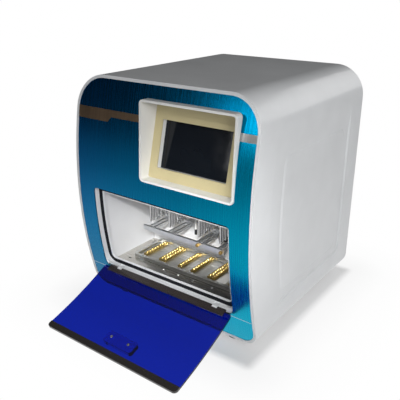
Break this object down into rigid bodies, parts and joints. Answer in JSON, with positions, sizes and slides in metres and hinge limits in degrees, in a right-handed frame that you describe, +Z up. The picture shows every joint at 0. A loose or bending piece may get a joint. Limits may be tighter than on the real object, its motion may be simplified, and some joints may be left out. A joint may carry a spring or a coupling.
{
  "type": "nucleic acid extractor",
  "caption": "Benchtop nucleic acid extractor: curved-front housing, fold-down tinted door, tilted touch screen and a magnet-rod head over a heated plate deck.",
  "frame": {"origin": "centre of the bounding box in x and y, with the door open, on the plane of the feet", "axes": "+X is the instrument's right side seen from the front, +Y is the back, +Z is up"},
  "size_m": [0.44, 0.6134, 0.504],
  "materials": {
    "shell_white": "gloss",
    "panel_blue": "brushed satin",
    "seam_silver": "satin",
    "trim_bronze": "brushed satin",
    "trim_silver": "brushed",
    "frame_white": "gloss",
    "seal_black": "matte",
    "door_blue": "gloss",
    "handle_blue": "gloss",
    "door_trim_brown": "gloss",
    "screw_steel": "satin",
    "hinge_white": "satin",
    "bezel_white": "gloss",
    "mask_cream": "satin",
    "screen_black": "gloss",
    "module_black": "matte",
    "chamber_white": "satin",
    "chamber_steel": "satin",
    "heater_gold": "satin",
    "tray_aluminium": "brushed",
    "card_white": "matte",
    "rod_steel": "satin",
    "head_aluminium": "satin",
    "pin_white": "satin",
    "tip_black": "matte",
    "knob_brass": "satin",
    "carriage_aluminium": "satin",
    "rail_steel": "ground",
    "motor_black": "satin",
    "drive_plate_steel": "satin",
    "supply_steel": "satin",
    "board_green": "satin",
    "base_grey": "satin",
    "foot_rubber": "matte",
    "rear_grey": "satin",
    "fan_black": "satin",
    "grille_chrome": "polished",
    "socket_black": "satin",
    "rocker_red": "gloss"
  },
  "bodies": {
    "housing": {"outer_shell": "shell_white", "front_panel": "panel_blue", "lower_front_panel": "panel_blue", "seam_strip": "seam_silver", "left_trim_band": "trim_bronze", "right_trim_band": "trim_silver", "opening_frame": "frame_white", "door_seal": "seal_black", "hinge_brackets": "hinge_white", "hinge_pins": "screw_steel", "display_bezel": "bezel_white", "display_mask": "mask_cream", "screen_surround": "bezel_white", "touch_screen": "screen_black", "display_module": "module_black", "right_chamber_wall": "chamber_white", "left_chamber_wall": "chamber_white", "chamber_back_wall": "chamber_white", "chamber_floor": "chamber_steel", "single_heater_blocks": "heater_gold", "double_heater_blocks": "heater_gold", "deck_tray": "tray_aluminium", "deck_screws": "screw_steel", "rim_screws": "screw_steel", "deck_marker_card": "card_white", "drive_wall": "drive_plate_steel", "crosswise_rails": "rail_steel", "screw_bearings": "carriage_aluminium", "crosswise_motor": "motor_black", "power_supply": "supply_steel", "control_board": "board_green", "base_plate": "base_grey", "feet": "foot_rubber", "rear_panel": "rear_grey", "rear_screws": "screw_steel", "fan_frame": "fan_black", "fan_grille": "grille_chrome", "power_inlet": "socket_black", "power_switch_housing": "socket_black", "data_ports": "socket_black"},
    "door": {"door_panel": "door_blue", "door_hinge_bar": "door_trim_brown", "door_edge_band": "door_trim_brown", "door_handle": "handle_blue", "door_handle_screws": "screw_steel"},
    "carriage": {"head_carriage": "carriage_aluminium", "vertical_rails": "rail_steel", "lift_motors": "motor_black"},
    "rod_head": {"rod_carrier": "head_aluminium", "magnet_rods": "rod_steel", "locating_pin": "pin_white", "locating_pin_tip": "tip_black"},
    "sleeve_head": {"sleeve_frame": "head_aluminium", "sleeve_hangers": "head_aluminium", "comb_thumbscrews": "knob_brass"},
    "rod_screw": {"rod_lead_screw": "rail_steel"},
    "sleeve_screw": {"sleeve_lead_screw": "rail_steel"},
    "crosswise_screw": {"crosswise_lead_screw": "rail_steel"},
    "fan": {"fan_rotor": "fan_black"},
    "rocker": {"power_rocker": "rocker_red"}
  },
  "joints": [
    {"name": "door_hinge", "type": "hinge", "parent": "housing", "child": "door", "pos_m": [0, -0.12831, 0.0805], "axis": [-1, 0, 0], "range_deg": [0, 105]},
    {"name": "crosswise_travel", "type": "slide", "parent": "housing", "child": "carriage", "axis": [1, 0, 0], "range_m": [-0.015, 0.03]},
    {"name": "rod_lift", "type": "slide", "parent": "carriage", "child": "rod_head", "axis": [0, 0, 1], "range_m": [-0.076, 0.03]},
    {"name": "sleeve_lift", "type": "slide", "parent": "carriage", "child": "sleeve_head", "axis": [0, 0, 1], "range_m": [-0.012, 0.04]},
    {"name": "crosswise_screw_spin", "type": "hinge", "parent": "housing", "child": "crosswise_screw", "pos_m": [0, 0.06773, 0.347], "axis": [1, 0, 0], "continuous": true},
    {"name": "rod_screw_spin", "type": "hinge", "parent": "carriage", "child": "rod_screw", "pos_m": [-0.0075, 0.04273, 0.314], "axis": [0, 0, 1], "continuous": true},
    {"name": "sleeve_screw_spin", "type": "hinge", "parent": "carriage", "child": "sleeve_screw", "pos_m": [-0.0915, 0.04273, 0.314], "axis": [0, 0, 1], "continuous": true},
    {"name": "fan_spin", "type": "hinge", "parent": "housing", "child": "fan", "pos_m": [-0.1, 0.28573, 0.364], "axis": [0, 1, 0], "continuous": true},
    {"name": "power_switch", "type": "hinge", "parent": "housing", "child": "rocker", "pos_m": [0.09, 0.29873, 0.106], "axis": [-1, 0, 0], "range_deg": [0, 18]}
  ],
  "couplings": [
    {"joint": "crosswise_screw_spin", "follows": "crosswise_travel", "rad_per_m": 785.4},
    {"joint": "rod_screw_spin", "follows": "rod_lift", "rad_per_m": 785.4},
    {"joint": "sleeve_screw_spin", "follows": "sleeve_lift", "rad_per_m": 785.4}
  ]
}
